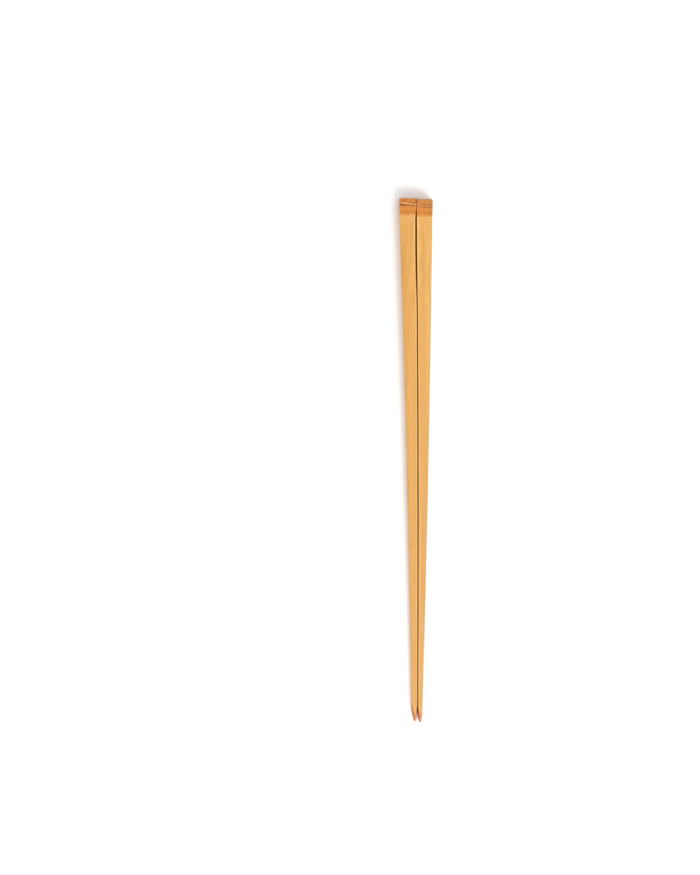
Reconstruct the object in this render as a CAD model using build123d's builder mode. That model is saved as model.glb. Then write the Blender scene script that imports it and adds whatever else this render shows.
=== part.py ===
from build123d import *
from dataclasses import dataclass
import math
import os

# A pair of bamboo chopsticks, each split from the wall of a culm, planed to a taper
# and turned to a blunt point. Their butt ends keep the culm's node. They lie side by
# side with their front faces up, a hair's breadth apart.
# All sizes are in millimetres. X runs across the pair, +Y points to the butt ends and
# Z is up. The origin is on the table, at the middle of the pair's outline.
# A place is a distance down a stick, measured from its butt end.

# Lengths down a stick
length = 240.0
node_pad = 4.2           # the node is straight and at its widest to here
node_zone = 8.2          # the node ends here and the plain shaft begins
even_start = 54.0        # from here down the inner faces follow one even bow
point_length = 10.0      # the last stretch, which is turned to a point
blank_spare = 1.0        # the planed blank is this much longer, and turned away

# Widths across the front
left_node_width = 7.72
right_node_width = 7.42
left_tip_width = 2.55    # planed width at the very end, before turning
right_tip_width = 2.11
left_node_step = 0.03    # the node stands this much proud of the outer face
right_node_step = 0.17
inner_step = 0.46        # and this much proud of the left stick's inner face
inner_hollow = 0.48      # below the node that face is this hollow
inner_swell = 0.12       # and the right stick's inner face stands out this much
taper_hollow = 0.36      # halfway down, the left stick is this much slimmer than a straight taper

# Thickness from the table up
butt_thickness = 6.2
tip_thickness = 2.15

# How the two sticks lie and how they have sprung
clearance = 0.07         # between the two inner faces where they come closest
stagger = 0.45           # the right stick lies this much lower
bow = 0.29               # sideways spring of the left stick at mid length
middle_gap = 0.26        # the right stick springs this much more
tip_gap = 0.08           # the inner faces part by this much more at the points

# Saw cut of the butt end and easing of the edges
cut_angle = 1.0          # off square, in degrees, falling to the right
left_corner = 0.2        # break of the outer butt corner
right_corner = 0.45
edge_radius = 0.35       # along the four long edges
rim_break = 0.12         # round the sawn end

# Turned point
point_radius = 0.45      # its blunt end
point_belly = 0.13       # outward curve of its flank
left_point_lean = 0.13   # its end leans this far to the other stick
right_point_lean = -0.1  # and this one leans away from it

# Scars of the node: the culm's inner wall in front, the leaf sheath behind
left_scar_place = 3.0
right_scar_place = 3.2
left_scar_angle = 4.0    # degrees, falling to the right
right_scar_angle = 0.8
scar_height = 1.5
scar_depth = 0.38
sheath_place = 5.6
sheath_height = 0.5
sheath_depth = 0.14

parting_x = (left_node_width - right_node_width) / 2


@dataclass
class Stick:
    """What sets one stick apart: side is -1 for the left one and +1 for the right."""

    side: int
    butt_y: float
    node_width: float
    tip_width: float
    node_step: float
    inner_hollow: float
    bow: float
    corner: float
    scar_place: float
    scar_angle: float
    lean: float
    inner_step: float = 0.0
    taper_hollow: float = 0.0

    def shaft_share(self, place):
        """How far down the plain shaft a place is, from 0 to 1."""
        return (place - node_zone) / (length - node_zone)

    def sprung(self, place, sagitta):
        """How far a bow with this sagitta at mid length stands off at a place."""
        share = self.shaft_share(place)
        return 4 * share * (1 - share) * sagitta

    def width(self, place):
        """Width of the plain shaft, which tapers a little hollow."""
        top = self.node_width - self.node_step
        taper = (self.tip_width - top) * self.shaft_share(place)
        return top + taper - self.sprung(place, self.taper_hollow)

    def thickness(self, place):
        return butt_thickness + (tip_thickness - butt_thickness) * place / length

    def node_point(self, place, out):
        """A point of the outline at the node, out from the line where the pair parts."""
        return (parting_x + self.side * (clearance / 2 + out), self.butt_y - place)

    def butt_corners(self):
        """The inner and the outer corner of the saw cut, which falls to the right."""
        fall = self.node_width * math.tan(math.radians(cut_angle))
        inner = self.node_point(fall if self.side < 0 else 0, 0)
        outer = self.node_point(fall if self.side > 0 else 0, self.node_width)
        return inner, outer

    def shaft_point(self, place, out):
        """A point of the outline of the bowed shaft."""
        x, y = self.node_point(place, out)
        return (x + self.sprung(place, self.bow), y)


def front_outline(stick):
    """The stick seen from the front: node, hollow below it, bow and taper."""
    end = length + blank_spare
    hollow_middle = (node_zone + even_start) / 2
    even_middle = (even_start + length) / 2
    shaft_middle = (node_zone + length) / 2
    inner_pad = stick.node_point(node_pad, 0)
    outer_pad = stick.node_point(node_pad, stick.node_width)
    inner_shoulder = stick.shaft_point(node_zone, stick.inner_step)

    with BuildSketch() as outline:
        with BuildLine():
            inner_face = ThreePointArc(
                stick.shaft_point(even_start, 0),
                stick.shaft_point(even_middle, 0),
                stick.shaft_point(end, tip_gap / 2),
            )
            outer_face = ThreePointArc(
                stick.shaft_point(node_zone, stick.width(node_zone)),
                stick.shaft_point(shaft_middle, stick.width(shaft_middle)),
                stick.shaft_point(end, stick.width(end)),
            )
            Spline(
                inner_shoulder,
                stick.shaft_point(hollow_middle, stick.inner_hollow),
                inner_face @ 0,
                tangents=[(0, -1), inner_face % 0],
            )
            Spline(inner_pad, inner_shoulder, tangents=[(0, -1), (0, -1)])
            Spline(outer_pad, outer_face @ 0, tangents=[(0, -1), outer_face % 0])
            Polyline(inner_pad, *stick.butt_corners(), outer_pad)
            Line(inner_face @ 1, outer_face @ 1)
        make_face()
    return outline.sketch


def turning_cutter(stick):
    """The ring of wood that is turned away round the point."""
    shoulder_place = length - point_length
    shoulder_width = stick.width(shoulder_place)
    shoulder_thickness = stick.thickness(shoulder_place)
    shoulder_xy = stick.shaft_point(shoulder_place, shoulder_width / 2)
    end_xy = stick.shaft_point(length, stick.tip_width / 2 - stick.lean)
    shoulder = Vector(*shoulder_xy, shoulder_thickness / 2)
    end = Vector(*end_xy, tip_thickness / 2)
    axis = Axis(end, shoulder - end)

    # The flank leaves the corners of the planed section where the point begins
    reach = (shoulder - end).length
    corner_radius = math.hypot(shoulder_width, shoulder_thickness) / 2
    outside = 2 * corner_radius
    dome_end = (point_radius, point_radius)
    flank_end = (reach, corner_radius)
    flank_middle = (
        (dome_end[0] + flank_end[0]) / 2,
        (dome_end[1] + flank_end[1]) / 2 + point_belly,
    )
    side_plane = Plane(end, x_dir=axis.direction, z_dir=axis.direction.cross(Axis.Z.direction))
    with BuildPart() as cutter:
        with BuildSketch(side_plane):
            with BuildLine():
                RadiusArc((0, 0), dome_end, point_radius)
                ThreePointArc(dome_end, flank_middle, flank_end)
                Polyline(flank_end, (reach, outside), (-outside, outside), (-outside, 0), (0, 0))
            make_face()
        revolve(axis=axis)
    return cutter.part


def chopstick(stick):
    """One stick, planed from its blank, sawn, eased, scarred and turned."""
    tip_y = stick.butt_y - length
    axis_x = stick.node_point(0, stick.node_width / 2)[0]
    blank_end = tip_y - blank_spare
    front_fall = (butt_thickness - tip_thickness) / length
    with BuildPart() as body:
        add(front_outline(stick))
        extrude(amount=butt_thickness)

        # The front is planed down in one straight line from the butt to the point
        with BuildSketch(Plane.YZ):
            with BuildLine():
                Polyline(
                    (stick.butt_y, 0),
                    (stick.butt_y, butt_thickness),
                    (blank_end, tip_thickness - front_fall * blank_spare),
                    (blank_end, 0),
                    close=True,
                )
            make_face()
        extrude(amount=length, both=True, mode=Mode.INTERSECT)

        # Long edges are eased, then the rim of the sawn end
        long_edges = body.edges().filter_by(lambda edge: abs((edge % 0.5).Y) > 0.9)
        fillet(long_edges, edge_radius)
        sawn_end = body.faces().sort_by(Axis.Y)[-1]
        chamfer(sawn_end.edges(), rim_break)

        # The outer corner of the butt is knocked off
        x, y = stick.butt_corners()[1]
        run = stick.corner
        across = stick.side * run
        with BuildSketch():
            Polygon(
                (x + across, y + run),
                (x - 2 * across, y + run),
                (x + across, y - 2 * run),
                align=None,
            )
        extrude(amount=butt_thickness, mode=Mode.SUBTRACT)

        # Broken root of the inner wall, a slanted hollow across the front
        scar_origin = (axis_x, stick.butt_y - stick.scar_place, stick.thickness(stick.scar_place))
        scar_run = Vector(1, 0, 0).rotate(Axis.Z, -stick.scar_angle)
        with BuildSketch(Plane(scar_origin, x_dir=(0, 0, 1), z_dir=scar_run)):
            Ellipse(scar_depth, scar_height / 2)
        extrude(amount=stick.node_width, both=True, mode=Mode.SUBTRACT)

        # Line that the leaf sheath leaves across the back
        with BuildSketch(Plane.YZ.offset(axis_x)):
            with Locations((stick.butt_y - sheath_place, 0)):
                Ellipse(sheath_height / 2, sheath_depth)
        extrude(amount=stick.node_width, both=True, mode=Mode.SUBTRACT)

        add(turning_cutter(stick), mode=Mode.SUBTRACT)
    return body


left_chopstick = chopstick(
    Stick(
        side=-1,
        butt_y=(length + stagger) / 2,
        node_width=left_node_width,
        tip_width=left_tip_width,
        node_step=left_node_step,
        inner_hollow=inner_hollow,
        bow=bow,
        corner=left_corner,
        scar_place=left_scar_place,
        scar_angle=left_scar_angle,
        lean=left_point_lean,
        inner_step=inner_step,
        taper_hollow=taper_hollow,
    )
)
right_chopstick = chopstick(
    Stick(
        side=1,
        butt_y=(length - stagger) / 2,
        node_width=right_node_width,
        tip_width=right_tip_width,
        node_step=right_node_step,
        inner_hollow=-inner_swell,
        bow=bow + middle_gap,
        corner=right_corner,
        scar_place=right_scar_place,
        scar_angle=right_scar_angle,
        lean=right_point_lean,
    )
)
left_chopstick.part.label = "left_chopstick"
right_chopstick.part.label = "right_chopstick"

os.makedirs("parts", exist_ok=True)
export_step(left_chopstick.part, "parts/left_chopstick.step")
export_step(right_chopstick.part, "parts/right_chopstick.step")
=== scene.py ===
# %% [markdown]
# # A pair of bamboo chopsticks
#
# Each chopstick is one strip of bamboo: split from the wall of a culm, planed to a
# taper, turned to a blunt point, and sawn off just above a node of the culm. The
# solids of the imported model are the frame. They give every size, and this lesson lays
# a finer mesh on each of them and then colours it like real bamboo.

import bisect
import math

import bmesh
import bpy
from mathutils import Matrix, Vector, noise


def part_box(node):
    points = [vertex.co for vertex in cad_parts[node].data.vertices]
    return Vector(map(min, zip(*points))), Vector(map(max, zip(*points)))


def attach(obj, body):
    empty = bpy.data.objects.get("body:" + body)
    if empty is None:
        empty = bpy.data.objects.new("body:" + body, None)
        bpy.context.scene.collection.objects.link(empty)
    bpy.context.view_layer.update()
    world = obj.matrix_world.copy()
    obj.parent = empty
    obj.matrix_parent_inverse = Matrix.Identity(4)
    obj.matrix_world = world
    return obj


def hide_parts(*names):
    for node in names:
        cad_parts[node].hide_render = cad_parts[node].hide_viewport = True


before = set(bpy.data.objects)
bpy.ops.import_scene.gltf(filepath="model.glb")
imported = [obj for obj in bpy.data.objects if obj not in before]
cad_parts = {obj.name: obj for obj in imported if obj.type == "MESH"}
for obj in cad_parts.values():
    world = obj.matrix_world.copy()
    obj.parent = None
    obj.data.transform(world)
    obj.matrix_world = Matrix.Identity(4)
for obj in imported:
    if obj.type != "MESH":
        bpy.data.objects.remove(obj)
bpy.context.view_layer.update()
MM = 0.001

# %% [markdown]
# ## A caliper for the solids
#
# A loaded solid is a cloud of loose triangles. Rather than counting on its corners,
# we measure it the way a caliper does: one ray comes in from the left and one from the
# right, and the distance between the points that they touch is the width. Rays work
# on any mesh, however its triangles are cut. Three readings close together are
# averaged, which evens out the flat facets of a curved face.

# %% Measure a stick by rays
caliper_height = 1.15 * MM
far_side = 50 * MM
reading_step = 0.5 * MM


def touch(node, start, direction):
    """The point where a ray first meets a solid."""
    found, point, _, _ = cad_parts[node].ray_cast(Vector(start), Vector(direction))
    assert found, (node, start)
    return point


def span(node, y):
    """The left and the right face of a stick at one place."""
    readings = [y - reading_step, y, y + reading_step]
    left = sum(touch(node, (-far_side, at, caliper_height), (1, 0, 0)).x for at in readings)
    right = sum(touch(node, (far_side, at, caliper_height), (-1, 0, 0)).x for at in readings)
    return left / 3, right / 3


def front_height(node, y):
    """The height of the planed front face at one place."""
    return touch(node, (sum(span(node, y)) / 2, y, far_side), (0, 0, -1)).z


for node in ("left_chopstick", "right_chopstick"):
    low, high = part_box(node)
    left, right = span(node, 0)
    length_mm = round((high[1] - low[1]) / MM, 1)
    width_mm = round((right - left) / MM, 2)
    print(node, "is", length_mm, "mm long and", width_mm, "mm wide halfway")

# %% [markdown]
# ## What sets the two sticks apart
#
# Both sticks come off the same bench, but no two pieces of bamboo are alike. The
# values that differ are kept side by side, so that one set of functions makes both.
# A place is a distance down the stick from its butt end, in millimetres. The scar is
# a shallow hollow, whose upper border is given at the left and the right face and then
# its lower one. In it lies a list of strokes, as one would draw them: each runs from a
# point to a point across the front, from -1 at the left face to 1 at the right one,
# and has a half width, a depth, and how dark and how pale it is.

# %% Values of each stick
STICKS = {
    "left_chopstick": {
        "side": -1,
        "corner": 0.2 * MM,
        "hollow": (1.6, 2.7, 3.2, 3.4),
        "strokes": (
            (-0.85, 1.55, -0.34, 1.56, 0.16, 0.16, 0.95, 0.0),
            (-0.34, 1.56, 0.25, 2.05, 0.14, 0.14, 0.70, 0.0),
            (0.25, 2.05, 1.0, 2.62, 0.15, 0.16, 0.85, 0.0),
            (0.0, 1.72, 1.0, 2.30, 0.12, 0.04, 0.40, 0.0),
            (-0.70, 2.12, 0.0, 2.48, 0.26, -0.05, 0.0, 0.30),
            (0.0, 2.62, 1.0, 2.98, 0.24, -0.05, 0.0, 0.35),
            (-0.60, 2.17, -0.32, 2.24, 0.24, -0.05, 0.0, 1.0),
            (-0.17, 2.34, -0.04, 2.43, 0.22, -0.05, 0.0, 0.9),
            (0.10, 2.66, 0.28, 2.82, 0.22, -0.05, 0.0, 1.0),
            (0.80, 2.92, 0.96, 2.90, 0.30, -0.05, 0.0, 1.0),
            (-0.98, 2.78, -0.62, 3.02, 0.27, 0.30, 1.0, 0.0),
            (-0.65, 3.34, -0.36, 3.30, 0.32, 0.32, 1.0, 0.0),
            (-0.36, 3.20, -0.05, 3.02, 0.15, 0.18, 0.70, 0.0),
            (-0.05, 3.08, 0.33, 3.28, 0.16, 0.18, 0.75, 0.0),
            (0.33, 3.26, 0.95, 3.46, 0.20, 0.20, 0.95, 0.0),
        ),
        "seed": 3.0,
    },
    "right_chopstick": {
        "side": 1,
        "corner": 0.65 * MM,
        "hollow": (2.5, 2.5, 3.75, 3.85),
        "strokes": (
            (-0.72, 2.46, -0.31, 2.76, 0.22, 0.14, 0.70, 0.0),
            (-0.31, 2.76, 0.47, 2.76, 0.24, 0.20, 0.90, 0.0),
            (0.47, 2.66, 0.90, 2.42, 0.32, 0.24, 1.0, 0.0),
            (-0.95, 3.12, 0.95, 3.25, 0.28, -0.05, 0.0, 0.45),
            (-0.88, 2.95, -0.76, 3.60, 0.26, -0.05, 0.0, 0.85),
            (-0.45, 3.32, 0.0, 3.24, 0.22, -0.05, 0.0, 0.90),
            (0.14, 3.30, 0.30, 3.24, 0.22, -0.05, 0.0, 0.90),
            (0.58, 3.12, 0.82, 3.22, 0.27, -0.05, 0.0, 1.0),
            (-0.50, 3.68, -0.15, 3.74, 0.18, 0.14, 0.80, 0.0),
            (-0.15, 3.74, 0.45, 3.80, 0.16, 0.14, 0.65, 0.0),
            (0.45, 3.80, 0.92, 3.78, 0.18, 0.14, 0.85, 0.0),
        ),
        "seed": 11.0,
    },
}

# %% [markdown]
# ## Small helpers for edit mode
#
# An operator works on whatever is selected. So each step first clears the selection,
# then picks what it needs by its place, and only then calls the operator.


# %% Pick by place
def pick(kind, test):
    """Select the vertices, edges or faces that pass a test."""
    bpy.ops.mesh.select_mode(type=kind)
    bpy.ops.mesh.select_all(action="DESELECT")
    shape = bmesh.from_edit_mesh(bpy.context.object.data)
    parts = {"VERT": shape.verts, "EDGE": shape.edges, "FACE": shape.faces}[kind]
    for part in parts:
        part.select_set(test(part))
    shape.select_flush_mode()
    bmesh.update_edit_mesh(bpy.context.object.data)


def middle(edge):
    """The point halfway along an edge."""
    return (edge.verts[0].co + edge.verts[1].co) / 2


def along(edge, axis):
    """Whether an edge runs along an axis: 0 is X, 1 is Y and 2 is Z."""
    return abs((edge.verts[1].co - edge.verts[0].co).normalized()[axis]) > 0.9


def new_edit_object(name, add_primitive):
    """Add a primitive with nothing else selected and enter edit mode."""
    if bpy.context.object and bpy.context.object.mode == "EDIT":
        bpy.ops.object.mode_set(mode="OBJECT")
    bpy.ops.object.select_all(action="DESELECT")
    add_primitive()
    made = bpy.context.object
    made.name = name
    made.data.name = name
    bpy.ops.object.mode_set(mode="EDIT")
    return made


# %% [markdown]
# ## Plane the blank
#
# A real stick starts as a square strip and is planed down. Here a cube is stretched
# to the strip and cut into rings with Bisect and Subdivide: few on the plain shaft,
# many at the node and the point, where the shape changes quickly. Then each ring is
# stretched and slid to what the caliper reads there. That gives the taper, the slight
# natural bow and the swelling of the node in one go.

# %% Cut the rings
# First place, last place and number of rings of each zone, in millimetres
zones = ((0.6, 5.4, 59), (5.4, 10.0, 22), (10.0, 52.0, 20), (52.0, 228.5, 58), (228.5, 240.0, 70))
spare = 0.3 * MM     # the blank is this much longer at the butt, and sawn off


def saw_strip(node):
    """A square strip of the stick's length, cut into rings."""
    low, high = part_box(node)
    strip = new_edit_object(node + "_bamboo", lambda: bpy.ops.mesh.primitive_cube_add(size=1))
    size = (high[0] - low[0], high[1] + spare - low[1], high[2])
    centre = ((low[0] + high[0]) / 2, (high[1] + spare + low[1]) / 2, size[2] / 2)
    bpy.ops.transform.resize(value=size)
    bpy.ops.transform.translate(value=centre)
    for first, _, _ in zones:
        bpy.ops.mesh.select_all(action="SELECT")
        bpy.ops.mesh.bisect(plane_co=(0, high[1] - first * MM, 0), plane_no=(0, 1, 0))
    for first, last, rings in zones:
        near = high[1] - first * MM
        far = high[1] - last * MM
        pick("EDGE", lambda edge: along(edge, 1) and far < middle(edge).y < near)
        bpy.ops.mesh.subdivide(number_cuts=rings)
    return strip


# %% Fit each ring to the caliper's reading
point_start = 10.0 * MM     # the turned point begins this far from the tip
above_point = 0.6 * MM      # the caliper stays this far above it
run_length = 8 * MM         # and reads the run of the planed faces over this length
below_rim = 1.2 * MM        # at the butt it stays clear of the sawn end's rim
first_gauge = 20 * MM       # two places down the stick where its thickness is read
last_gauge = 220 * MM
ring_gap = 0.02 * MM        # vertices nearer than this belong to one ring


def ring_places(shape):
    """The places along Y where the blank has a ring."""
    places = []
    for y in sorted(v.co.y for v in shape.verts):
        if not places or y - places[-1] > ring_gap:
            places.append(y)
    return places


def plane_to_size(node):
    """Stretch and slide each ring to the section that the solid has there."""
    sections = []
    low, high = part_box(node)
    width = high[0] - low[0]
    centre_x = (low[0] + high[0]) / 2
    butt, tip = high[1], low[1]
    first, last = butt - first_gauge, butt - last_gauge
    fall = (front_height(node, first) - front_height(node, last)) / (first - last)

    # From the point's shoulder down the planed faces run straight on
    shoulder = tip + point_start + above_point
    above = shoulder + run_length
    runs = [(a - b) / run_length for a, b in zip(span(node, shoulder), span(node, above))]
    for y in ring_places(bmesh.from_edit_mesh(bpy.context.object.data)):
        probe = min(max(y, shoulder), butt - below_rim)
        beyond = max(shoulder - y, 0)
        left, right = [face + run * beyond for face, run in zip(span(node, probe), runs)]
        height = front_height(node, first) + fall * (y - first)
        pick("VERT", lambda v: abs(v.co.y - y) < ring_gap / 2)
        bpy.ops.transform.resize(
            value=((right - left) / width, 1, height / high[2]), center_override=(centre_x, y, 0)
        )
        bpy.ops.transform.translate(value=((left + right) / 2 - centre_x, 0, 0))
        sections.append((y, left, right, height))
    return sections


def section_at(sections, y):
    """Left face, right face and height of the front at a place between two rings."""
    index = min(max(bisect.bisect(sections, (y,)), 1), len(sections) - 1)
    before, after = sections[index - 1], sections[index]
    share = (y - before[0]) / (after[0] - before[0])
    return [a + (b - a) * share for a, b in zip(before[1:], after[1:])]


# %% [markdown]
# ## Saw, ease and cut fine
#
# Bisect is the saw: it cuts the butt at its slight slant and fills the end. Bevel
# then eases the four long edges with a small round, as a plane or sandpaper does. The
# flats between them are cut lengthwise only after that, because Bevel needs room
# beside the edge that it rounds. Three more bisects take the outer corner off the
# butt, each touching the same small circle, so that the corner looks rubbed off.

# %% Saw the butt and ease the edges
edge_radius = 0.35 * MM
rim_break = 0.12 * MM
cut_angle = math.radians(1.0)
end_zone = 0.5 * MM         # the slanted cut lies within this
slope = Vector((math.sin(cut_angle), math.cos(cut_angle), 0))
tiny = 1e-6                 # lengths below this count as nothing
same_point = 1e-7
flat_cuts = ((0, 47), (2, 24))      # cuts of the edges along X and along Z


def saw_off(point, out):
    """Cut off what lies beyond a plane and fill the cut."""
    bpy.ops.mesh.select_all(action="SELECT")
    bpy.ops.mesh.bisect(
        plane_co=point, plane_no=out, clear_outer=True, use_fill=True, threshold=same_point
    )


def runs_lengthwise(edge, end_below, tip):
    """Whether an edge is one of those down the stick, and not on either end."""
    places = [v.co.y for v in edge.verts]
    on_an_end = min(places) > end_below or max(places) < tip + tiny
    return not on_an_end and abs(places[0] - places[1]) > tiny


def is_rim(edge):
    """Whether an edge parts the sawn end from a side."""
    return sorted(face.normal.dot(slope) > 0.999 for face in edge.link_faces) == [False, True]


def saw_and_ease(node, corner, side):
    """Saw the butt, round the long edges, cut the flats fine and rub the corner."""
    low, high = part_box(node)
    left, right = span(node, high[1] - below_rim)
    saw_off((left, high[1], 0), slope)
    pick("EDGE", lambda edge: runs_lengthwise(edge, high[1] - end_zone, low[1]))
    bpy.ops.mesh.bevel(offset=edge_radius, segments=5, affect="EDGES", clamp_overlap=False)

    # Cut the front, the back and the sides lengthwise
    for axis, cuts in flat_cuts:
        pick("EDGE", lambda edge: along(edge, axis) and edge.calc_length() > 2.1 * edge_radius)
        bpy.ops.mesh.subdivide(number_cuts=cuts)

    # Break the rim of the sawn end
    pick("EDGE", is_rim)
    bpy.ops.mesh.bevel(offset=rim_break, segments=2, affect="EDGES", clamp_overlap=True)

    # Rub the outer corner of the butt off
    face = left if side < 0 else right
    fall = (face - left) * math.tan(cut_angle)
    round_middle = Vector((face - side * corner, high[1] - fall - corner, 0))
    for turn in (22.5, 45, 67.5):
        angle = math.radians(turn)
        out = Vector((side * math.cos(angle), math.sin(angle), 0))
        saw_off(round_middle + out * corner, out)


# %% [markdown]
# ## Turn the point
#
# The tip of the real stick is held against a spinning sander, so its square section
# runs out into a cone with a blunt end, and the four corners of the section leave the
# cone as rounded tongues. We do the same. A profile is spun round the stick's axis to
# make the shape that the sander leaves, and Shrinkwrap, set to act only on what is
# outside it, draws the blank's corners in. What is already inside stays planed. Its
# Target Normal Project method lands on the rounded surface and not on its flat
# facets, so no two vertices fall on one point.
#
# Two masks remember the result. One tells where wood was taken off, because the
# turned wood is browner. The other marks the left flank of the point, which is
# painted darker: painted shade on the side that faces away from the light.


# %% A mask on the mesh
def smooth_step(value):
    """A soft run from 0 to 1."""
    value = min(max(value, 0), 1)
    return value * value * (3 - 2 * value)


def store_mask(stick, name, values):
    """Keep one number for each vertex under a name that a material can read."""
    mask = stick.data.attributes.new(name, "FLOAT", "POINT")
    mask.data.foreach_set("value", values)


# %% The profile of the point
blunt_radius = 0.52 * MM
belly = 0.17 * MM           # outward curve of the flank
dome_steps = 8
dome_step_angle = 10        # degrees
flank_steps = 32
past_shoulder = 1.06        # the profile ends a little above the shoulder
spin_steps = 96


def turned_profile(node):
    """The point's axis and the profile beside it, from the blunt end to the shoulder."""
    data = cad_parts[node].data
    end = min((v.co.copy() for v in data.vertices), key=lambda co: co.y)
    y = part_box(node)[0].y + point_start
    left, right = span(node, y + above_point)
    thickness = front_height(node, y + above_point)
    shoulder = Vector(((left + right) / 2, y, thickness / 2))
    reach = (shoulder - end).length
    corner = math.hypot(right - left, thickness) / 2
    profile = []
    for step in range(dome_steps + 1):
        angle = math.radians(step * dome_step_angle)
        profile.append((blunt_radius * (1 - math.cos(angle)), blunt_radius * math.sin(angle)))
    for step in range(flank_steps + 1):
        share = step / flank_steps * past_shoulder
        distance = blunt_radius + (reach - blunt_radius) * share
        radius = blunt_radius + (corner - blunt_radius) * share + 4 * belly * share * (1 - share)
        profile.append((distance, radius))
    return end, (shoulder - end).normalized(), profile


# %% Spin the turned shape
def spin_turned_shape(node):
    """The shape that the sander leaves, as a mesh of its own."""
    end, axis, profile = turned_profile(node)
    across = Vector((0, 0, 1)).cross(axis).normalized()
    points = [end + axis * distance + across * radius for distance, radius in profile]
    shape = new_edit_object(
        "turned_shape", lambda: bpy.ops.mesh.primitive_plane_add(size=MM, location=points[0])
    )
    bpy.ops.mesh.select_mode(type="VERT")
    bpy.ops.mesh.select_all(action="SELECT")
    bpy.ops.mesh.merge(type="CENTER")
    for here, there in zip(points, points[1:]):
        bpy.ops.mesh.extrude_region_move(TRANSFORM_OT_translate={"value": there - here})
    bpy.ops.mesh.select_all(action="SELECT")
    bpy.ops.mesh.spin(steps=spin_steps, angle=2 * math.pi, center=end, axis=axis)
    bpy.ops.mesh.select_all(action="SELECT")
    bpy.ops.mesh.remove_doubles(threshold=same_point)
    bpy.ops.mesh.normals_make_consistent(inside=False)
    bpy.ops.object.mode_set(mode="OBJECT")
    reach_mm = round(profile[-1][0] / MM, 2)
    print("turned shape of", node, "has", len(shape.data.polygons), "faces and reaches", reach_mm, "mm")
    return shape


# %% Close the end and draw it in
end_rings = 10
draw_in_margin = 0.4 * MM   # vertices this far above the point may still be drawn in


def close_end(stick, tip):
    """Fill the lower end with rings, so that it can be rounded."""
    pick("FACE", lambda face: face.normal.y < -0.9 and face.calc_center_median().y < tip + tiny)
    shape = bmesh.from_edit_mesh(stick.data)
    ends = [face for face in shape.faces if face.select]
    centre = ends[0].calc_center_median()
    for ring in range(end_rings):
        share = (end_rings - ring - 1) / (end_rings - ring)
        bpy.ops.mesh.extrude_region_move(TRANSFORM_OT_translate={"value": (0, 0, 0)})
        if share:
            bpy.ops.transform.resize(value=(share, 1, share), center_override=centre)
    bpy.ops.mesh.merge(type="CENTER")
    bpy.ops.object.mode_set(mode="OBJECT")


def draw_in(stick, target, reach):
    """Shrink what lies below a place onto the turned shape, where it stands outside it."""
    group = stick.vertex_groups.new(name="point")
    group.add([v.index for v in stick.data.vertices if v.co.y < reach], 1, "REPLACE")
    bpy.ops.object.select_all(action="DESELECT")
    stick.select_set(True)
    bpy.context.view_layer.objects.active = stick
    turning = stick.modifiers.new("turning", "SHRINKWRAP")
    turning.target = target
    turning.wrap_method = "TARGET_PROJECT"
    turning.wrap_mode = "INSIDE"
    turning.vertex_group = group.name
    bpy.ops.object.modifier_apply(modifier=turning.name)
    stick.vertex_groups.clear()


# %% Turn the point and keep its masks
taken_off = 0.03 * MM       # wood that lost this much counts as turned
flank_start = 9.3 * MM      # the flank's painted shade begins this far from the tip
flank_fade = 1.5 * MM
flank_turn = 0.15           # how far to the left a surface has to face
flank_turn_run = 0.6


def turn_point(stick, node):
    """Round the end of the stick and tell how many vertices were moved."""
    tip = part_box(node)[0].y
    close_end(stick, tip)
    before = [v.co.copy() for v in stick.data.vertices]
    turned_shape = spin_turned_shape(node)
    draw_in(stick, turned_shape, tip + point_start + draw_in_margin)
    bpy.data.objects.remove(turned_shape)
    taken = [(vertex.co - old).length for vertex, old in zip(stick.data.vertices, before)]
    turned = [min(distance / taken_off, 1) for distance in taken]
    store_mask(stick, "turned", turned)
    # The left flank is painted darker: painted shade where it faces away from the light
    flank_shade = []
    for vertex, share in zip(stick.data.vertices, turned):
        near_end = smooth_step((tip + flank_start - vertex.co.y) / flank_fade)
        facing_left = smooth_step((-vertex.normal.x - flank_turn) / flank_turn_run)
        flank_shade.append(facing_left * max(share, near_end))
    store_mask(stick, "flank_shade", flank_shade)
    return sum(1 for value in turned if value > 0.5)


# %% [markdown]
# ## Break out the scar of the node
#
# Inside a culm each node is closed by a thin wall. Where the strip was split, that
# wall's root is torn off across the front and leaves a shallow ragged hollow with
# dark lines along both sides. The sheath of a leaf leaves a finer line on the back.
# Torn fibres are too irregular for operators, so this one shape is sculpted: code
# lowers each vertex by a depth that depends on its place and on noise, and keeps two
# masks that the material will read: dark cracks with painted shade in the grooves, and
# pale torn fibres with a painted highlight on the raised parts.


# %% Shape of the scar
def ragged(x, y, seed, size):
    """Noise of about -1 to 1 with details of the given size in millimetres."""
    return noise.fractal(Vector((x / size, y / size, seed)), 1.0, 2.0, 3)


def groove(distance, half_width):
    """1 in the middle of a groove, falling to 0 at its border."""
    return 1 - smooth_step(abs(distance) / half_width)


def near_stroke(stroke, x, place, half):
    """How near a point is to a stroke's ragged line, from 0 to 1."""
    start = Vector((stroke[0] * half, stroke[1]))
    run = Vector((stroke[2] * half, stroke[3])) - start
    share = min(max((Vector((x, place)) - start).dot(run) / run.length_squared, 0), 1)
    nearest = start + run * share
    return groove((Vector((x, place)) - nearest).length, stroke[4])


# %% Depth and tone of the scar, in millimetres
hollow_border = 0.35
hollow_depth = 0.13
deepest_cut = 0.42


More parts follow.
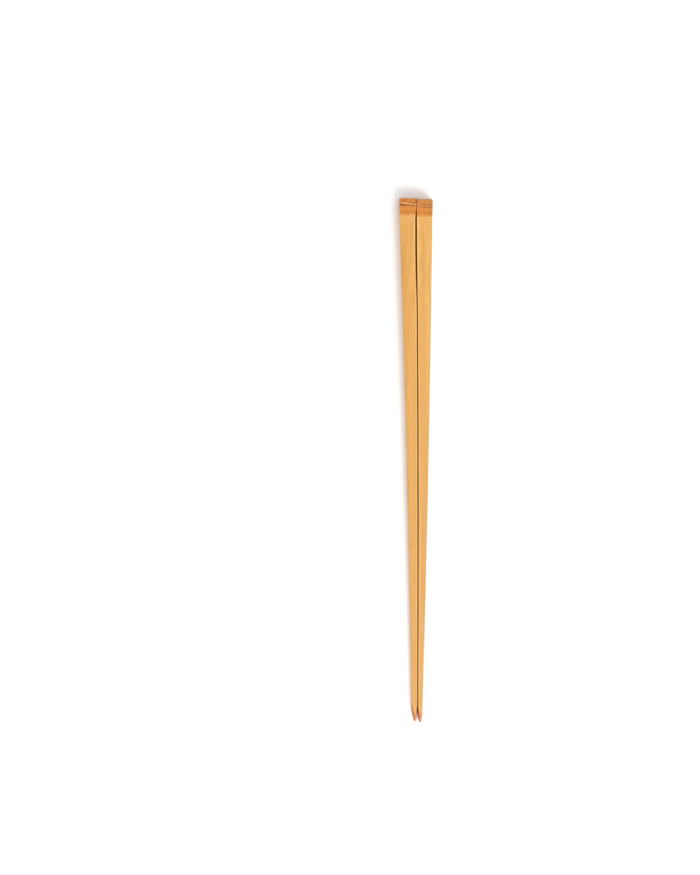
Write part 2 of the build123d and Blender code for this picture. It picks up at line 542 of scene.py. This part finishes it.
def scar_at(values, across, half, place):
    """Depth in mm, darkness and paleness of the scar at one point of the front."""
    x = across * half
    seed = values["seed"]
    share = (across + 1) / 2
    upper_left, upper_right, lower_left, lower_right = values["hollow"]

    # Its borders and strokes sway slowly and fray finely
    torn_place = place + 0.09 * ragged(x, 0, seed, 1.5) + 0.05 * ragged(x, place, seed + 1, 0.35)
    upper = upper_left + (upper_right - upper_left) * share
    lower = lower_left + (lower_right - lower_left) * share
    inside = smooth_step((torn_place - upper) / hollow_border)
    inside *= smooth_step((lower - torn_place) / hollow_border)
    depth = inside * (hollow_depth + 0.03 * ragged(x, place * 2, seed + 2, 0.3))
    dark = 0
    pale = 0
    for number, stroke in enumerate(values["strokes"]):
        stroke_depth, darkness, paleness = stroke[5:]
        strength = near_stroke(stroke, x, torn_place, half)
        strength *= 0.85 + 0.3 * ragged(x, place, seed + 20 + number, 0.7)
        depth += strength * stroke_depth
        dark = max(dark, strength * darkness)
        pale = max(pale, strength * paleness * (0.95 + 0.4 * ragged(x * 1.3, place, seed + 7, 0.6)))
    return min(max(depth, 0), deepest_cut), min(max(dark, 0), 1), min(max(pale - dark, 0), 1)


# %% Carve the scar and the sheath line
carved_to = 9               # no scar lies further down than this, in millimetres
front_band = 0.5 * MM       # the scar's tones fade out this far down the sides
sheath_place = 5.6
sheath_half = 0.25
sheath_depth = 0.14
sheath_darkness = 0.55


def carve_node(stick, node, sections):
    """Lower the front in the scar and cut the sheath line into the back."""
    values = STICKS[node]
    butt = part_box(node)[1].y
    crack_and_shade = [0.0] * len(stick.data.vertices)
    torn_and_highlight = [0.0] * len(stick.data.vertices)
    deepest = 0
    for vertex in stick.data.vertices:
        place = (butt - vertex.co.y) / MM
        if place > carved_to:
            continue
        left, right, front = section_at(sections, vertex.co.y)
        half = (right - left) / 2 / MM
        across = (vertex.co.x - (left + right) / 2) / MM / half
        depth, dark, pale = scar_at(values, across, half, place)
        bottom = front - depth * MM
        if vertex.co.z > bottom and depth > 0:
            deepest = max(deepest, depth)
            vertex.co.z = bottom
        near_front = smooth_step(1.4 - (front - vertex.co.z) / front_band)
        # The crack mask carries dark cracks and painted shade in the grooves, the torn mask pale fibres
        # and a painted highlight on the ridges
        crack_and_shade[vertex.index] = dark * near_front
        torn_and_highlight[vertex.index] = pale * near_front

        # The sheath's line on the back is a finer groove, cut from below; its dark tone is partly the
        # line's own and partly painted shade in the groove
        x = across * half
        line = sheath_place + 0.12 * ragged(x, 30, values["seed"], 1.3)
        fine = (place - line) / (sheath_half * (1 + 0.3 * ragged(x, 40, values["seed"], 0.6)))
        if abs(fine) < 1:
            cut = sheath_depth * MM * math.sqrt(1 - fine * fine)
            if vertex.co.z < cut:
                vertex.co.z = cut
                crack_and_shade[vertex.index] = sheath_darkness * (1 - abs(fine))
    store_mask(stick, "crack_and_shade", crack_and_shade)
    store_mask(stick, "torn_and_highlight", torn_and_highlight)
    return deepest


# %% [markdown]
# ## Mark the painted highlights, the painted shade and the sawn wood
#
# The wood beside the inner edges is painted paler: a painted highlight, highest just
# beside the rounded edge and fading over less than a millimetre. The second mask marks
# the faces that the two sticks turn to each other, which are painted dark brown: the
# painted shade of the narrow gap between them. It begins just below the front and
# reaches furthest up near the points. The third marks the sawn end, where the fibres
# are cut across. All are kept on the mesh, because they follow its surface.

# %% Values of the masks, in millimetres where they are lengths
highlight_middle = 0.45        # from the inner face
highlight_half = 0.55
highlight_depth = 0.4          # below the front, where the painted highlight fades out
point_shade_start = 14             # from the tip up, where the point's deeper painted shade begins
point_shade_run = 6
upper_start = 150           # from the tip up, where the upper part begins
upper_run = 60
node_start = 230            # from the tip up
node_run = 3
node_fade = 0.2             # at the node the painted shade begins this much softer
turn_run = 0.4              # a face turned this much further in is fully shaded
point_shade_rise = 0.05            # near the point the painted shade begins this much higher
clean_tip = 3               # the very end gets no painted shade

# How far a face has to be turned to the other stick, and how much less near the point
INNER_TURN = {"left_chopstick": (0.28, 0.15), "right_chopstick": (0.34, 0.3)}
# Depth over which the painted shade fades in, what nearness to the point adds, and what the upper part
# takes off
INNER_FADE = {"left_chopstick": (0.25, 0.0, 0.1), "right_chopstick": (0.1, 0.18, 0.0)}


def inner_shade_share(node, facing_other, depth, before_end):
    """How much of the inner face's painted shade a point has, from 0 to 1."""
    near_point = smooth_step((point_shade_start - before_end) / point_shade_run)
    upper = smooth_step((before_end - upper_start) / upper_run)
    at_node = smooth_step((before_end - node_start) / node_run)
    turn, less_turn = INNER_TURN[node]
    fade, more_fade, less_fade = INNER_FADE[node]
    fade += more_fade * near_point - less_fade * upper + node_fade * at_node
    turned_in = smooth_step((facing_other - turn + less_turn * near_point) / turn_run)
    below_front = smooth_step((depth + point_shade_rise * near_point) / fade)
    return turned_in * below_front * smooth_step((before_end - clean_tip) / clean_tip)


# %% Mark the surface
def mark_surface(stick, node, sections):
    """Store the masks of the painted edge highlight, the inner face's painted shade and the sawn end.
    """
    side = STICKS[node]["side"]
    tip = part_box(node)[0].y
    edge_highlight = []
    inner_shade = []
    for vertex in stick.data.vertices:
        left, right, front = section_at(sections, vertex.co.y)
        inward = (right - vertex.co.x) if side < 0 else (vertex.co.x - left)
        depth = (front - vertex.co.z) / MM
        beside_edge = groove(inward / MM - highlight_middle, highlight_half)
        edge_highlight.append(beside_edge * smooth_step(1.5 - depth / highlight_depth))
        inner_shade.append(inner_shade_share(node, -side * vertex.normal.x, depth, (vertex.co.y - tip) / MM))
    store_mask(stick, "edge_highlight", edge_highlight)
    store_mask(stick, "inner_shade", inner_shade)
    sawn = [0.0] * len(stick.data.vertices)
    for face in stick.data.polygons:
        if face.normal.y > 0.95:
            for index in face.vertices:
                sawn[index] = 1.0
    store_mask(stick, "sawn", sawn)


# %% Make both sticks
def make_stick(node):
    """One finished mesh, which rides on the body and stands for its solid."""
    values = STICKS[node]
    stick = saw_strip(node)
    sections = plane_to_size(node)
    saw_and_ease(node, values["corner"], values["side"])
    moved = turn_point(stick, node)
    mark_surface(stick, node, sections)
    deepest = round(carve_node(stick, node, sections), 2)
    bpy.ops.object.select_all(action="DESELECT")
    stick.select_set(True)
    bpy.context.view_layer.objects.active = stick
    bpy.ops.object.shade_smooth_by_angle(angle=math.radians(32))
    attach(stick, "root")
    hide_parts(node)
    print(stick.name, "has", len(sections), "rings,", moved, "turned vertices")
    print("its scar is", deepest, "mm deep")
    return stick


sticks = {node: make_stick(node) for node in STICKS}

# %% [markdown]
# ## Node groups for bamboo
#
# Two sticks of the same bamboo need the same fibres, so the fibres are a node group
# with named sockets that both materials share. Bamboo is a soft pale ground with
# harder, darker bundles of fibre that run the whole length of the culm. A cell
# pattern that is stretched a hundredfold along the stick gives just that: streaks on
# the long faces and dots on the sawn end, from one pattern in space. Three stretched
# noises join it: fine hair, the coarser streaks near the node, and a slow change of
# tone.


# %% Groups and inputs
def new_group(name, inputs, outputs):
    """A node group with named sockets: each is a name, a socket type and a default."""
    group = bpy.data.node_groups.new(name, "ShaderNodeTree")
    for in_out, sockets in (("INPUT", inputs), ("OUTPUT", outputs)):
        for socket_name, kind, default in sockets:
            socket = group.interface.new_socket(name=socket_name, in_out=in_out, socket_type=kind)
            if default is not None:
                socket.default_value = default
    start = group.nodes.new("NodeGroupInput")
    end = group.nodes.new("NodeGroupOutput")
    return group, start.outputs, end.inputs


def feed(tree, socket, value):
    """Link a socket to an input, or set the input to a constant."""
    if isinstance(value, bpy.types.NodeSocket):
        tree.links.new(value, socket)
    else:
        socket.default_value = value


def add_node(tree, kind, values=None, **inputs):
    """Add a node; values set its options, and inputs are fed by name, or i0, i1 and so on."""
    node = tree.nodes.new(kind)
    for key, value in (values or {}).items():
        setattr(node, key, value)
    for key, value in inputs.items():
        numbered = key[0] == "i" and key[1:].isdigit()
        feed(tree, node.inputs[int(key[1:]) if numbered else key], value)
    return node


# %% The nodes that are used most
def math_node(tree, operation, *inputs):
    """One Math node."""
    node = add_node(tree, "ShaderNodeMath", {"operation": operation})
    for socket, value in zip(node.inputs, inputs):
        feed(tree, socket, value)
    return node.outputs[0]


def vector_node(tree, operation, *inputs):
    """One Vector Math node."""
    node = add_node(tree, "ShaderNodeVectorMath", {"operation": operation})
    for socket, value in zip(node.inputs, inputs):
        feed(tree, socket, value)
    return node.outputs[0]


def remap(tree, value, from_low, from_high, to_low=0.0, to_high=1.0):
    """One Map Range node with a soft run at both ends."""
    node = add_node(tree, "ShaderNodeMapRange", {"interpolation_type": "SMOOTHSTEP"})
    for socket, given in zip(node.inputs, (value, from_low, from_high, to_low, to_high)):
        feed(tree, socket, given)
    return node.outputs[0]


def mix_colour(tree, share, first, second, blend="MIX"):
    """One Mix node for colours."""
    node = add_node(tree, "ShaderNodeMix", {"data_type": "RGBA", "blend_type": blend})
    for number, value in ((0, share), (6, first), (7, second)):
        feed(tree, node.inputs[number], value)
    return node.outputs[2]


# %% Stretched patterns
def stretched(tree, vector, width_mm, length_mm):
    """Coordinates in which a cell is this wide across the stick and this long down it."""
    scale = (1 / (width_mm * MM), 1 / (length_mm * MM), 1 / (width_mm * MM))
    mapping = add_node(tree, "ShaderNodeMapping", {"vector_type": "POINT"}, Vector=vector, Scale=scale)
    return mapping.outputs[0]


def noise_node(tree, vector, width_mm, length_mm, detail):
    """One Noise node, stretched down the stick."""
    place = stretched(tree, vector, width_mm, length_mm)
    return add_node(tree, "ShaderNodeTexNoise", None, Vector=place, Scale=1.0, Detail=detail)


def seeded(group, given):
    """The place with the seed added, so that each stick has a pattern of its own."""
    seed = given["Seed"]
    shift = add_node(group, "ShaderNodeCombineXYZ", None, X=seed, Y=seed, Z=seed).outputs[0]
    return vector_node(group, "ADD", given["Vector"], shift)


# %% Fibre group
# Width and length in millimetres and detail of the stretched noises
SOFT_PATTERNS = {"Hair": (0.11, 9.0, 2.0), "Tone": (1.6, 90.0, 2.0), "Streak": (0.5, 11.0, 1.0)}
bundle_width = 0.42
bundle_length = 55.0
sway_width = 0.3 * MM


def build_fibre_group():
    """Bundles, hair, streaks and tone, from 0 to 1, at a place of the stick."""
    group, given, out = new_group(
        "culm_fibres",
        (("Vector", "NodeSocketVector", None), ("Seed", "NodeSocketFloat", 0.0)),
        [(name, "NodeSocketFloat", None) for name in ("Bundle", "Hair", "Streak", "Tone")],
    )
    moved = seeded(group, given)

    # The bundles wander a little on their way down the culm
    sway = noise_node(group, moved, 3.0, 30.0, 1.0).outputs["Color"]
    centred = vector_node(group, "SUBTRACT", sway, (0.5, 0.5, 0.5))
    swayed = vector_node(group, "MULTIPLY_ADD", centred, (sway_width, 0.0, sway_width), moved)

    # A bundle is a cell, and each has its own strength
    place = stretched(group, swayed, bundle_width, bundle_length)
    cells = add_node(group, "ShaderNodeTexVoronoi", {"feature": "F1"}, Vector=place, Scale=1.0)
    each = add_node(group, "ShaderNodeSeparateColor", None, Color=cells.outputs["Color"]).outputs[0]
    core = remap(group, cells.outputs["Distance"], 0.48, 0.12)
    bundle = math_node(group, "MULTIPLY", core, remap(group, each, 0.1, 0.9, 0.25, 1.0))
    group.links.new(bundle, out["Bundle"])
    for name, (width, length, detail) in SOFT_PATTERNS.items():
        pattern = noise_node(group, swayed, width, length, detail).outputs["Fac"]
        group.links.new(remap(group, pattern, 0.3, 0.7), out[name])
    return group


fibre_group = build_fibre_group()
print("fibre group has", len(fibre_group.nodes), "nodes")

# %% [markdown]
# ## The node's colours
#
# At a node the fibres cross and swell, and the wood above and below the scar is
# darker and redder, in soft bands that run across the stick. A second group gives the
# place down the stick, from 0 at the butt to 1 at 12 mm, with an uneven border, and
# each stick then has its own colour ramp over that place. The group also gives spots
# of about a millimetre, where the crossing fibres come to the surface.

# %% Group for the place at the node
place_unit = 12 * MM


def build_place_group():
    """The uneven place down the stick and the spots of the node."""
    group, given, out = new_group(
        "node_place",
        (
            ("Vector", "NodeSocketVector", None),
            ("Butt", "NodeSocketFloat", 0.12),
            ("Seed", "NodeSocketFloat", 0.0),
        ),
        (("Place", "NodeSocketFloat", None), ("Mottle", "NodeSocketFloat", None)),
    )
    moved = seeded(group, given)
    uneven = noise_node(group, moved, 0.9, 6.0, 3.0).outputs["Fac"]
    fray = noise_node(group, moved, 0.25, 3.0, 2.0).outputs["Fac"]
    spots = noise_node(group, moved, 0.9, 1.1, 2.0).outputs["Fac"]
    y = add_node(group, "ShaderNodeSeparateXYZ", None, Vector=given["Vector"]).outputs[1]
    from_butt = math_node(group, "SUBTRACT", given["Butt"], y)
    place = math_node(group, "MULTIPLY", from_butt, 1 / place_unit)
    for pattern, strength in ((uneven, 0.10), (fray, 0.03)):
        centred = math_node(group, "SUBTRACT", pattern, 0.5)
        place = math_node(group, "MULTIPLY_ADD", centred, strength, place)
    group.links.new(place, out["Place"])
    group.links.new(remap(group, spots, 0.34, 0.66), out["Mottle"])
    return group


place_group = build_place_group()
print("place group has", len(place_group.nodes), "nodes")

# %% [markdown]
# ## Tones of the wood
#
# The colours below are what the eye sees under the studio light, as the red, green
# and blue of a screen. The wood's own colour is that, made linear and divided by the
# light that falls on it. The wood of the node is one tone. Below its scar come a
# bright band, a dark band and paler wood, at places of each stick's own, and then the
# even tone of the shaft.

# %% From a screen colour to the wood's own
light_level = 1.40
sheen = 0.035       # what the satin surface mirrors of the white room


def wood(red, green, blue):
    """Screen colour to the wood's own colour."""
    linear = []
    for value in (red, green, blue):
        share = value / 255
        straight = share / 12.92 if share < 0.04045 else ((share + 0.055) / 1.055) ** 2.4
        linear.append(max(straight - sheen, 0.01) / light_level)
    return (*linear, 1)


# %% Bands of the node and the shaft below it
NODE_WOOD = {"left_chopstick": (217, 142, 79), "right_chopstick": (216, 145, 82)}
BRIGHT_BAND = (228, 153, 79)
DARK_BAND = (218, 140, 73)
PALE_WOOD = (240, 183, 113)         # just below the node
SHAFT = {
    "left_chopstick": ((236, 179, 105), (238, 181, 111)),
    "right_chopstick": ((237, 180, 108), (237, 181, 114)),
}
# Where the node wood ends, both bands begin and end, and the pale wood begins
BAND_PLACES = {
    "left_chopstick": (0.31, 0.38, 0.44, 0.50, 0.56, 0.67),
    "right_chopstick": (0.31, 0.38, 0.47, 0.52, 0.57, 0.70),
}
band_end = (0.85, 1.6)              # where the shaft's tone takes over
shaft_run = (50 * MM, -80 * MM)     # along Y, from the shaft's upper to its lower tone


def ground_tone(tree, node, given):
    """The bands of the node, which run out into the tone of the shaft."""
    upper, lower = SHAFT[node]
    tones = (NODE_WOOD[node], BRIGHT_BAND, BRIGHT_BAND, DARK_BAND, DARK_BAND, PALE_WOOD, upper)
    ramp = add_node(tree, "ShaderNodeValToRGB", None, Fac=given["Place"])
    stops = ramp.color_ramp.elements
    while len(stops) < len(tones):
        stops.new(0.5)
    for stop, at, tone in zip(stops, (*BAND_PLACES[node], 1.0), tones):
        stop.position = at
        stop.color = wood(*tone)
    shaft = mix_colour(tree, remap(tree, given["y"], *shaft_run), wood(*upper), wood(*lower))
    shaft_share = remap(tree, given["Place"], *band_end)
    return mix_colour(tree, shaft_share, ramp.outputs["Color"], shaft)


# %% [markdown]
# ## Layers of colour
#
# The finish is built up in layers, as a painter would: the ground first, then what
# the wood's growth adds, then what tools and hands did to it, with painted light and
# shade among them. Each layer multiplies a tint into the colour below it, and a mask or
# a pattern says how much. Each stick has a tint on its outer side that ends before
# halfway: painted shade on the left stick's outer side and a painted highlight on the
# right stick's, as the light falls from the right.


# %% Helpers for layers
def mask(tree, name):
    """A mask that was stored on the mesh."""
    return add_node(tree, "ShaderNodeAttribute", {"attribute_name": name}).outputs["Fac"]


def times(tree, ground, tint):
    """The ground with a tint multiplied in all over."""
    return mix_colour(tree, 1.0, ground, tint, "MULTIPLY")


def tinted(tree, share, ground, tint):
    """The ground with a tint multiplied in where the share is 1."""
    return mix_colour(tree, share, ground, times(tree, ground, tint))


def down(tree, node, given, begin, full, *levels):
    """A soft run down the stick between two distances from the butt, in millimetres."""
    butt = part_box(node)[1].y
    return remap(tree, given["y"], butt - begin * MM, butt - full * MM, *levels)


# %% Outer layer, spots and fibres
# Where the outer side's painted light begins and where it is full, in millimetres along X, and its
# tint: painted shade on the left stick, a painted highlight on the right one
SIDE_LIGHT_TINT = {
    "left_chopstick": (-4.0, -5.3, (0.985, 0.93, 0.87, 1)),
    "right_chopstick": (3.2, 5.6, (1.04, 1.10, 1.16, 1)),
}
# The tint where a pattern is 0 and where it is 1
PATTERN_TINTS = {
    "Mottle": ((0.90, 0.80, 0.70, 1), (1.06, 1.09, 1.13, 1)),
    "Tone": ((0.965, 0.955, 0.94, 1), (1.03, 1.035, 1.05, 1)),
    "Hair": ((0.96, 0.95, 0.94, 1), (1.03, 1.03, 1.03, 1)),
    "Streak": ((0.935, 0.93, 0.915, 1), (1.085, 1.105, 1.13, 1)),
}
BUNDLE_TINT = (0.86, 0.76, 0.68, 1)
bundle_strength = 0.55
node_border = (0.62, 0.72)      # where the node's wood ends, as a share of 12 mm
side_light_start = (14, 22)          # down from the butt, where the outer side's painted light comes in
side_light_end = (105, 75)           # where it is gone, and where it is still full
streak_end = (60, 40)           # the same for the streaks


def pattern_tint(tree, given, name):
    """The tint of a pattern at each point."""
    return mix_colour(tree, given[name], *PATTERN_TINTS[name])


def grown_layers_and_side_light(tree, node, given, ground):
    """Painted light on each stick's outer side, then what growth gives the wood: spots of the node and
    fibres.
    """
    first, last, side_light_tint = SIDE_LIGHT_TINT[node]
    started = down(tree, node, given, *side_light_start)
    share = math_node(tree, "MULTIPLY", started, down(tree, node, given, *side_light_end))
    share = math_node(tree, "MULTIPLY", share, remap(tree, given["x"], first * MM, last * MM))
    ground = tinted(tree, share, ground, side_light_tint)
    spotted = times(tree, ground, pattern_tint(tree, given, "Mottle"))
    ground = mix_colour(tree, remap(tree, given["Place"], *node_border), spotted, ground)
    ground = times(tree, ground, pattern_tint(tree, given, "Tone"))
    bundle_share = math_node(tree, "MULTIPLY", given["Bundle"], bundle_strength)
    ground = tinted(tree, bundle_share, ground, BUNDLE_TINT)
    ground = times(tree, ground, pattern_tint(tree, given, "Hair"))

    # Near the node the fibres are coarser and show as streaks
    near_node = down(tree, node, given, *streak_end)
    return tinted(tree, near_node, ground, pattern_tint(tree, given, "Streak"))


# %% Painted edge highlights, painted shade and the point
# Painted highlight beside the inner edges, paler and more orange at the node
EDGE_HIGHLIGHT_TINT = {"left_chopstick": (1.16, 1.35, 1.48, 1), "right_chopstick": (1.38, 1.55, 1.68, 1)}
NODE_EDGE_HIGHLIGHT_TINT = (1.28, 1.12, 1.02, 1)
HIGHLIGHT_START = {"left_chopstick": (0.55, 0.72), "right_chopstick": (0.30, 0.36)}
highlight_border = (0.6, 0.72)        # where the node's painted highlight ends, as a share of 12 mm
highlight_run = (18, 40)              # down from the butt, where the painted highlight gets weaker
highlight_below = 0.45                # how strong it is on the rest of the shaft
tongue_run = (7.5, 5.0)         # up from the tip, in millimetres
TONGUE_TINT = (1.05, 1.12, 1.25, 1)
# The turned wood's own browner tone, and painted shade on the left flanks and the inner faces
MASK_TINTS_AND_SHADES = {
    "turned": (0.77, 0.55, 0.58, 1),
    "flank_shade": (0.76, 0.49, 0.32, 1),
    "inner_shade": (0.34, 0.18, 0.08, 1),
}


def worked_layers_and_painted_light(tree, node, given, ground):
    """What tools and hands did, with painted light: painted highlights beside the inner edges, pale
    tongues, turned wood, and painted shade on the left flanks and inner faces.
    """
    started = remap(tree, given["Place"], *HIGHLIGHT_START[node])
    share = math_node(tree, "MULTIPLY", mask(tree, "edge_highlight"), started)
    weaker = down(tree, node, given, *highlight_run, 1.0, highlight_below)
    share = math_node(tree, "MULTIPLY", share, weaker)
    off_node = remap(tree, given["Place"], *highlight_border)
    highlight_tint = mix_colour(tree, off_node, NODE_EDGE_HIGHLIGHT_TINT, EDGE_HIGHLIGHT_TINT[node])
    ground = tinted(tree, share, ground, highlight_tint)
    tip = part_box(node)[0].y
    tongue_end = remap(tree, given["y"], *(tip + height * MM for height in tongue_run))
    ground = tinted(tree, tongue_end, ground, TONGUE_TINT)
    for name, tint in MASK_TINTS_AND_SHADES.items():
        ground = tinted(tree, mask(tree, name), ground, tint)
    return ground


# %% Torn scar with painted highlight, dark cracks with painted shade, and the sawn end
# Pale torn fibres with a painted highlight on them, and dark cracks with painted shade in them
PALE_TEAR_AND_HIGHLIGHT = {"left_chopstick": (255, 240, 190), "right_chopstick": (250, 190, 146)}
tear_strength = 0.95
CRACK_AND_SHADE_TONE = (104, 54, 26)
SAWN_TINT = (0.92, 0.93, 0.95, 1)
SAWN_DOT = (150, 92, 48)


def broken_layers_and_painted_light(tree, node, given, ground):
    """Pale torn fibres with a painted highlight, dark lines with painted shade, and the bundles cut
    across.
    """
    tear_share = math_node(tree, "MULTIPLY", mask(tree, "torn_and_highlight"), tear_strength)
    ground = mix_colour(tree, tear_share, ground, wood(*PALE_TEAR_AND_HIGHLIGHT[node]))
    ground = mix_colour(tree, mask(tree, "crack_and_shade"), ground, wood(*CRACK_AND_SHADE_TONE))
    end_tone = times(tree, ground, SAWN_TINT)
    dots = mix_colour(tree, given["Bundle"], end_tone, wood(*SAWN_DOT))
    return mix_colour(tree, mask(tree, "sawn"), ground, dots)


# %% [markdown]
# ## Satin finish
#
# Oiled bamboo has a soft sheen. The hard bundles are a little glossier than the hair
# between them, and torn or sawn wood is matt. Planed fibres stand up by hundredths of
# a millimetre, which only a Bump node can show at a fair price. These patterns feed
# Roughness and Normal, and the specular level is the same all over, so it is set on
# the shader itself.

# %% Roughness and bump
ground_roughness = 0.42
hair_roughness = 0.10
bundle_roughness = -0.06
broken_roughness = 0.28
specular_level = 0.35
hair_height = 0.4           # as a share of a bundle's height
fibre_height = 0.012 * MM
relief_strength = 0.5


def satin(tree, shader, given):
    """Roughness and relief of the planed, torn and sawn wood."""
    rough = math_node(tree, "MULTIPLY_ADD", given["Hair"], hair_roughness, ground_roughness)
    rough = math_node(tree, "MULTIPLY_ADD", given["Bundle"], bundle_roughness, rough)
    broken = math_node(tree, "MAXIMUM", mask(tree, "torn_and_highlight"), mask(tree, "crack_and_shade"))
    dull = math_node(tree, "MAXIMUM", broken, mask(tree, "sawn"))
    rough = math_node(tree, "MULTIPLY_ADD", dull, broken_roughness, rough)
    tree.links.new(rough, shader.inputs["Roughness"])
    shader.inputs["Specular IOR Level"].default_value = specular_level
    height = math_node(tree, "MULTIPLY_ADD", given["Hair"], hair_height, given["Bundle"])
    bump = add_node(
        tree, "ShaderNodeBump", None, Height=height, Strength=relief_strength, Distance=fibre_height
    )
    tree.links.new(bump.outputs["Normal"], shader.inputs["Normal"])


# %% Build the two materials
def use_group(tree, group, values):
    """Place a node group in a material with its own values, and give its outputs."""
    user = tree.nodes.new("ShaderNodeGroup")
    user.node_tree = group
    for name, value in values.items():
        feed(tree, user.inputs[name], value)
    return {socket.name: socket for socket in user.outputs}


def bamboo(node):
    """The finish of one stick."""
    material = bpy.data.materials.new("bamboo_" + node.split("_")[0])
    material.use_nodes = True
    tree = material.node_tree
    shader = tree.nodes["Principled BSDF"]
    seed = STICKS[node]["seed"]
    position = add_node(tree, "ShaderNodeTexCoord").outputs["Object"]
    x, y, _ = add_node(tree, "ShaderNodeSeparateXYZ", None, Vector=position).outputs
    given = {"x": x, "y": y}
    given |= use_group(tree, fibre_group, {"Vector": position, "Seed": seed * 7 * MM})
    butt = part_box(node)[1].y
    given |= use_group(tree, place_group, {"Vector": position, "Butt": butt, "Seed": seed * 3 * MM})
    ground = ground_tone(tree, node, given)
    for layers in (grown_layers_and_side_light, worked_layers_and_painted_light, broken_layers_and_painted_light):
        ground = layers(tree, node, given, ground)
    tree.links.new(ground, shader.inputs["Base Color"])
    satin(tree, shader, given)
    return material


for node, stick in sticks.items():
    stick.data.materials.clear()
    stick.data.materials.append(bamboo(node))
    print(stick.name, "is finished in", stick.data.materials[0].name)

# %% [markdown]
# ## White table
#
# The sticks lie on a white table. It lies a hair below them, because two surfaces at
# one height flicker. A table hides the undersides, so it is made open from below:
# Backfacing lets a look from underneath pass, and so does Ray Length for rays that
# start on the undersides, which would be black otherwise.

# %% Floor
floor_drop = 0.01 * MM
touching_distance = 0.05 * MM
TABLE_WHITE = (0.93, 0.93, 0.93, 1)
floor = new_edit_object("floor", lambda: bpy.ops.mesh.primitive_plane_add(size=6))
bpy.ops.transform.translate(value=(0, 0, -floor_drop))
bpy.ops.object.mode_set(mode="OBJECT")
floor_material = bpy.data.materials.new("white_table")
floor_material.use_nodes = True
floor_tree = floor_material.node_tree
floor_shader = floor_tree.nodes["Principled BSDF"]
floor_shader.inputs["Base Color"].default_value = TABLE_WHITE
floor_shader.inputs["Roughness"].default_value = 0.8
floor_shader.inputs["Specular IOR Level"].default_value = 0.1
see_through = add_node(floor_tree, "ShaderNodeBsdfTransparent")
from_below = add_node(floor_tree, "ShaderNodeNewGeometry").outputs["Backfacing"]
ray_length = add_node(floor_tree, "ShaderNodeLightPath").outputs["Ray Length"]
touching = math_node(floor_tree, "LESS_THAN", ray_length, touching_distance)
open_side = math_node(floor_tree, "MAXIMUM", from_below, touching)
one_sided = add_node(
    floor_tree,
    "ShaderNodeMixShader",
    None,
    Fac=open_side,
    i1=floor_shader.outputs["BSDF"],
    i2=see_through.outputs["BSDF"],
)
floor_output = floor_tree.nodes["Material Output"]
floor_tree.links.new(one_sided.outputs["Shader"], floor_output.inputs["Surface"])
floor.data.materials.append(floor_material)
print("floor is", floor_drop / MM, "mm below the sticks")

# %% [markdown]
# ## Studio light
#
# One low, wide and soft light from the lower right gives the pair its soft shadow to
# the left and above, and a white room fills it. Light that falls straight down would
# reach into the narrow gap between the sticks. In the studio something dark hung
# overhead, so the room has a dark strip there, in line with the gap. It dims the
# light alone: for the camera, the room is white all round.

# %% Key light
key_elevation = math.radians(28)
key_azimuth = math.radians(29)      # from -Y towards +X
key_width = math.radians(50)
key_power = 3.45
key_data = bpy.data.lights.new("key", "SUN")
key_data.energy = key_power
key_data.angle = key_width
key = bpy.data.objects.new("key", key_data)
bpy.context.scene.collection.objects.link(key)
toward_key = Vector(
    (
        math.sin(key_azimuth) * math.cos(key_elevation),
        -math.cos(key_azimuth) * math.cos(key_elevation),
        math.sin(key_elevation),
    )
)
key.rotation_euler = toward_key.to_track_quat("Z", "Y").to_euler()
print("key light comes from", [round(value, 2) for value in toward_key])

# %% White room with a dark strip
room_level = 1.06
WHITE = (1, 1, 1, 1)
STRIP_TONE = (0.02, 0.02, 0.02, 1)
strip_edge = (0.07, 0.13)           # sideways share of a direction where it fades out
world = bpy.data.worlds.new("studio")
world.use_nodes = True
room = world.node_tree
background = room.nodes["Background"]
sky = add_node(room, "ShaderNodeTexCoord").outputs["Generated"]
sideways = add_node(room, "ShaderNodeSeparateXYZ", None, Vector=sky).outputs[0]
lit = remap(room, math_node(room, "ABSOLUTE", sideways), *strip_edge)
walls = mix_colour(room, lit, STRIP_TONE, WHITE)
seen = add_node(room, "ShaderNodeLightPath").outputs["Is Camera Ray"]
room.links.new(mix_colour(room, seen, walls, WHITE), background.inputs["Color"])
background.inputs["Strength"].default_value = room_level
bpy.context.scene.world = world
bpy.context.scene.view_settings.view_transform = "Standard"
bpy.context.scene.view_settings.look = "None"
print("room has", len(room.nodes), "nodes")

# %% [markdown]
# ## Camera
#
# The pair is seen from straight above, right of the middle of the picture. The camera
# stands high with a long lens, so that the taper is not exaggerated. The lens is
# worked out from the height of the view at the middle of the sticks' thickness.

# %% Camera
camera_height = 2.5
view_height = 0.40127
view_centre = (-0.03055, 0.0106)
view_turn = math.radians(-0.12)
middle_of_sticks = 3 * MM
sensor = 36
camera_data = bpy.data.cameras.new("camera")
camera_data.sensor_width = sensor
camera_data.lens = sensor * (camera_height - middle_of_sticks) / view_height
camera_data.clip_start = 0.05
camera_data.clip_end = 20
camera = bpy.data.objects.new("camera", camera_data)
camera.location = (*view_centre, camera_height)
camera.rotation_euler = (0, 0, view_turn)
bpy.context.scene.collection.objects.link(camera)
bpy.context.scene.camera = camera
print("lens", round(camera_data.lens, 1), "mm")
